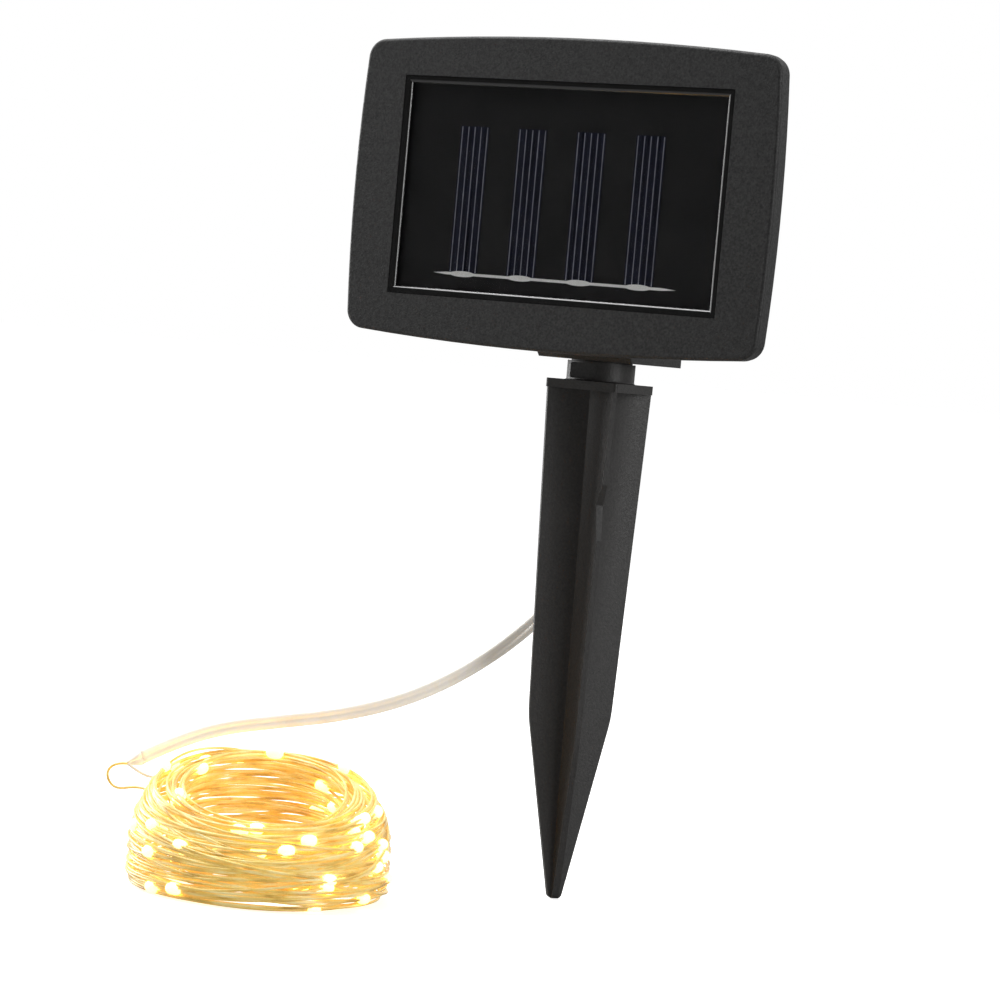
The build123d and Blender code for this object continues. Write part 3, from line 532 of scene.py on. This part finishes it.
# Each turn leads from its own place to the next, so the last place only ends the last turn
TURNS = sum(count for count, _, _ in LAYERS) - 1
LEAN_SPREAD = 0.045
OVAL_SPREAD = 0.0004
CROSSING_MIDDLES = (0.3, 0.7)
CROSSING_SPAN = 0.6
HEIGHT_JITTER = 0.008
RADIUS_JITTER = 0.00018
LAMP_SPACING = 0.3
STRAY_SPREAD = 0.42
# Turns that stand off the coil: (turn, heading in degrees, rise, bulge)
STRAYS = [
    (23, 30.0, 0.0048, 0.0022),
    (52, 158.0, 0.0042, -0.0008),
    (61, 12.0, 0.0010, 0.0030),
    (84, -4.0, -0.0030, 0.0028),
    (97, 205.0, 0.0020, 0.0022),
    (40, 196.0, -0.0020, 0.0024),
    (109, 24.0, -0.0010, 0.0030),
]


def coil_top(heading, radius):
    """Height of the coil's slanted top over a point."""
    along = radius * math.cos(heading - COIL_SLOPE_HEADING)
    return COIL_MIDDLE_HEIGHT - along * math.tan(COIL_SLOPE)


def coil_side(up):
    """Outer radius at a share of the coil's height: widest low down, drawn in at foot and top."""
    below = up < COIL_WIDEST_SHARE
    end = COIL_FOOT_RADIUS if below else COIL_SHOULDER_RADIUS
    reach = COIL_WIDEST_SHARE if below else 1 - COIL_WIDEST_SHARE
    drawn_in = ((up - COIL_WIDEST_SHARE) / reach) ** 2
    return COIL_WIDEST_RADIUS - (COIL_WIDEST_RADIUS - end) * drawn_in


def turn_places():
    """Each turn's place in the bundle, its lean and ovalness, and where it crosses to the next."""
    places = []
    for count, across, up in LAYERS:
        for i in range(count):
            share = (i + random.random()) / count
            places.append({
                "across": random.uniform(*across),
                "up": up[0] + (up[1] - up[0]) * share,
                "lean": random.gauss(0, LEAN_SPREAD),
                "lean_heading": random.uniform(0, 2 * math.pi),
                "oval": random.gauss(0, OVAL_SPREAD),
                "oval_heading": random.uniform(0, math.pi),
                "crossing": random.uniform(*CROSSING_MIDDLES),
            })
    random.shuffle(places)
    return places


def coil_route():
    """Control points of the coil's turns, from one place in the bundle to the next."""
    places = turn_places()
    foot = WIRE_DIAMETER * 0.6
    route = []
    for step in range(TURNS * POINTS_PER_TURN):
        turn, share = divmod(step / POINTS_PER_TURN, 1)
        here = places[int(turn)]
        there = places[int(turn) + 1]
        moved = smooth_step((share - here["crossing"]) / CROSSING_SPAN + 0.5)
        across, up = (here[key] + (there[key] - here[key]) * moved for key in ("across", "up"))
        heading = FIRST_HEADING - 2 * math.pi * step / POINTS_PER_TURN
        # Lean and ovalness fade out at both ends of a turn, so that turns join smoothly
        fade = math.sin(math.pi * share)
        lean = here["lean"] * fade * math.cos(heading - here["lean_heading"])
        up += lean + random.gauss(0, HEIGHT_JITTER)
        up = min(max(up, 0.0), 1.0)
        top = coil_top(heading, COIL_SHOULDER_RADIUS)
        height = foot + (top - foot) * up
        outer = coil_side(up) - WIRE_DIAMETER / 2
        radius = COIL_BORE_RADIUS + (outer - COIL_BORE_RADIUS) * across
        ripple = here["oval"] * fade * math.cos(2 * heading - here["oval_heading"])
        radius = min(radius + ripple + random.gauss(0, RADIUS_JITTER), outer)
        for stray, where, rise, bulge in STRAYS:
            if int(turn) == stray:
                away = math.remainder(heading - math.radians(where), 2 * math.pi)
                bump = math.exp(-(away / STRAY_SPREAD) ** 2)
                height += rise * bump
                radius += bulge * bump
        route.append(COIL_CENTRE + Vector((
            radius * math.cos(heading), radius * math.sin(heading), max(height, foot),
        )))
    return route


def place_along(line):
    """Distances along a line, one for each of its points."""
    total = 0.0
    distances = [0.0]
    for before, after in zip(line, line[1:]):
        total += (after - before).length
        distances.append(total)
    return distances


WIRE_SIDES = 8
LAMP_HALF_LENGTH = 0.0022
LAMP_RADIUS = 0.00118
LAMP_TIP_RADIUS = 0.0003
LAMP_LEAST_RADIUS = 0.00012
LAMP_FULLER = 0.16
LAMP_SIZES = (0.9, 1.12)
LAMP_BLUNTNESS = 2.6
LAMP_HEAT_FALL = 2.2
LAMP_FREE_START = 0.02
LAMP_RINGS = 8
LAMP_SIDES = 12
FLOOR_GAP = 0.0002


def lamp_drops(line):
    """Every lamp of the string as one mesh: resin drops round the wire, fuller on one side."""
    distances = place_along(line)
    count = int((distances[-1] - LAMP_FREE_START) / LAMP_SPACING)
    spots = [distances[-1] - LAMP_SPACING * i for i in range(count)]
    spots.sort()
    vertices, faces, heat = [], [], []
    at = 0
    for spot in spots:
        while at < len(line) - 2 and distances[at + 1] < spot:
            at += 1
        ahead = (line[at + 1] - line[at]).normalized()
        place = line[at] + ahead * (spot - distances[at])
        side = ahead.orthogonal().normalized()
        side.rotate(Matrix.Rotation(random.uniform(0, 2 * math.pi), 3, ahead))
        other = ahead.cross(side)
        size = random.uniform(*LAMP_SIZES)
        base = len(vertices)
        for i in range(LAMP_RINGS + 1):
            share = i / LAMP_RINGS * 2 - 1
            girth = LAMP_RADIUS * size * max(1 - abs(share) ** LAMP_BLUNTNESS, 0) ** 0.5
            girth = max(girth + LAMP_TIP_RADIUS * (1 - share**4), LAMP_LEAST_RADIUS)
            middle = place + ahead * share * LAMP_HALF_LENGTH * size
            for j in range(LAMP_SIDES):
                angle = 2 * math.pi * j / LAMP_SIDES
                fuller = 1 + LAMP_FULLER * math.cos(angle)
                out = side * math.cos(angle) + other * math.sin(angle)
                vertices.append(middle + out * girth * fuller)
                heat.append(max(1 - abs(share) ** LAMP_HEAT_FALL, 0))
        for i in range(LAMP_RINGS):
            for j in range(LAMP_SIDES):
                k = (j + 1) % LAMP_SIDES
                ring = base + i * LAMP_SIDES
                faces.append((ring + j, ring + k, ring + LAMP_SIDES + k, ring + LAMP_SIDES + j))
        faces.append(tuple(range(base + LAMP_SIDES - 1, base - 1, -1)))
        end = base + LAMP_RINGS * LAMP_SIDES
        faces.append(tuple(range(end, end + LAMP_SIDES)))
    # The lowest lamps are flattened on the floor
    for vertex in vertices:
        vertex.z = max(vertex.z, FLOOR_GAP)
    mesh = bpy.data.meshes.new("lamps")
    mesh.from_pydata(vertices, [], faces)
    mesh.attributes.new("heat", "FLOAT", "POINT").data.foreach_set("value", heat)
    mesh.update()
    mesh.shade_smooth()
    return bpy.data.objects.new("lamp_drops", mesh)


def make_light_wire(looks, joint_end):
    """The wire from the joint through its loose end into the coil, with its lamps."""
    route = [joint_end, *WIRE_ROUTE, *coil_route()]
    line = line_of(route, 5)
    distances = place_along(line)
    print(f"light wire: {distances[-1]:.2f} m")
    corners = [2 * math.pi * i / WIRE_SIDES for i in range(WIRE_SIDES)]
    radius = WIRE_DIAMETER / 2
    ring = [(radius * math.cos(corner), radius * math.sin(corner)) for corner in corners]
    # The wire is nowhere quite upright, so up is never along it
    wire = tube_mesh("light_wire", line, [ring] * len(line), lambda i: Vector((0.02, 0.01, 1)))
    along = wire.data.attributes.new("along", "FLOAT_VECTOR", "POINT")
    along.data.foreach_set("vector", [
        value for distance in distances for _ in ring for value in (distance, 0, 0)
    ])
    show(wire, looks["gold_wire"], "stake")
    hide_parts("string_lead", "light_coil")
    lamps = lamp_drops(line)
    show(lamps, looks["lamp"], "stake")
    branch = spline_object("second_strand", [joint_end, *BRANCH_ROUTE], WIRE_DIAMETER * 0.55, 8)
    show(branch, looks["lead"], "stake")


# ---------------------------------------------------------------- stage and light
FLOOR_HALF_WIDTH = 30.0
FLOOR_GLOW = 0.70
FLOOR_SEEN = (0.8, 0.8, 0.8, 1)
FLOOR_REFLECTED = (0.3, 0.3, 0.3, 1)
SKY_FRONT = 0.03
SKY_BEHIND = 1.0
def make_floor():
    """Plain pale floor. Only the camera sees it bright, so it doesn't wash out the dark parts."""
    mesh = bpy.data.meshes.new("floor")
    half = FLOOR_HALF_WIDTH
    corners = [(-half, -half, 0), (half, -half, 0), (half, half, 0), (-half, half, 0)]
    mesh.from_pydata(corners, [], [(0, 1, 2, 3)])
    floor = bpy.data.objects.new("floor", mesh)
    floor.location.z = -FLOOR_GAP
    bpy.context.scene.collection.objects.link(floor)
    made = bpy.data.materials.new("floor")
    made.use_nodes = True
    tree = made.node_tree
    tree.nodes.clear()
    output = tree.nodes.new("ShaderNodeOutputMaterial")
    path = tree.nodes.new("ShaderNodeLightPath")
    seen = tree.nodes.new("ShaderNodeAddShader")
    lit = tree.nodes.new("ShaderNodeBsdfDiffuse")
    lit.inputs["Color"].default_value = FLOOR_SEEN
    glow = tree.nodes.new("ShaderNodeEmission")
    glow.inputs["Strength"].default_value = FLOOR_GLOW
    dull = tree.nodes.new("ShaderNodeBsdfDiffuse")
    dull.inputs["Color"].default_value = FLOOR_REFLECTED
    mix = tree.nodes.new("ShaderNodeMixShader")
    tree.links.new(lit.outputs[0], seen.inputs[0])
    tree.links.new(glow.outputs[0], seen.inputs[1])
    tree.links.new(path.outputs["Is Camera Ray"], mix.inputs[0])
    tree.links.new(dull.outputs[0], mix.inputs[1])
    tree.links.new(seen.outputs[0], mix.inputs[2])
    tree.links.new(mix.outputs[0], output.inputs[0])
    mesh.materials.append(made)


def make_world():
    """White behind the object and dim in front of it; the camera sees plain white all round."""
    world = bpy.data.worlds.new("studio")
    bpy.context.scene.world = world
    world.use_nodes = True
    tree = world.node_tree
    shade = tree.nodes["Background"]
    shade.inputs["Color"].default_value = (1, 1, 1, 1)
    coordinates = tree.nodes.new("ShaderNodeTexCoord")
    facing = tree.nodes.new("ShaderNodeVectorMath")
    facing.operation = "DOT_PRODUCT"
    facing.inputs[1].default_value = (-math.sin(CAMERA_AZIMUTH), math.cos(CAMERA_AZIMUTH), 0.15)
    spread = tree.nodes.new("ShaderNodeMapRange")
    spread.inputs["From Min"].default_value = -0.3
    spread.inputs["From Max"].default_value = 0.9
    spread.inputs["To Min"].default_value = SKY_FRONT
    spread.inputs["To Max"].default_value = SKY_BEHIND
    path = tree.nodes.new("ShaderNodeLightPath")
    pick = tree.nodes.new("ShaderNodeMix")
    pick.inputs["B"].default_value = 1.0
    tree.links.new(coordinates.outputs["Generated"], facing.inputs[0])
    tree.links.new(facing.outputs["Value"], spread.inputs["Value"])
    tree.links.new(path.outputs["Is Camera Ray"], pick.inputs["Factor"])
    tree.links.new(spread.outputs["Result"], pick.inputs["A"])
    tree.links.new(pick.outputs["Result"], shade.inputs["Strength"])


def softbox(name, place, aim, size, radiance, colour=(1, 1, 1)):
    """Rectangular area light at place that faces aim; radiance is its brightness as seen."""
    data = bpy.data.lights.new(name, "AREA")
    data.shape = "RECTANGLE"
    data.size, data.size_y = size
    data.energy = radiance * math.pi * size[0] * size[1]
    data.color = colour
    light = bpy.data.objects.new(name, data)
    light.location = place
    light.rotation_mode = "QUATERNION"
    light.rotation_quaternion = (Vector(aim) - Vector(place)).to_track_quat("-Z", "Y")
    bpy.context.scene.collection.objects.link(light)
    light.visible_camera = False


def make_lights():
    head = (0, -0.03, 0.18)
    softbox("key_right", (1.35, -0.30, 0.45), (0, 0, 0.12), (0.7, 1.0), 4.6)
    softbox("left_front", (-1.0, -0.75, 0.30), head, (0.35, 0.9), 3.0)
    softbox("left_side", (-1.25, 0.10, 0.30), head, (0.8, 0.9), 5.0)
    softbox("overhead", (-0.45, -0.15, 1.15), head, (0.9, 0.7), 7.0)


make_camera()
looks = make_materials()
dress_cad_nodes(looks)
joint_end = make_lead(looks)
make_light_wire(looks, joint_end)
make_floor()
make_world()
make_lights()
bpy.context.scene.view_settings.view_transform = "Standard"
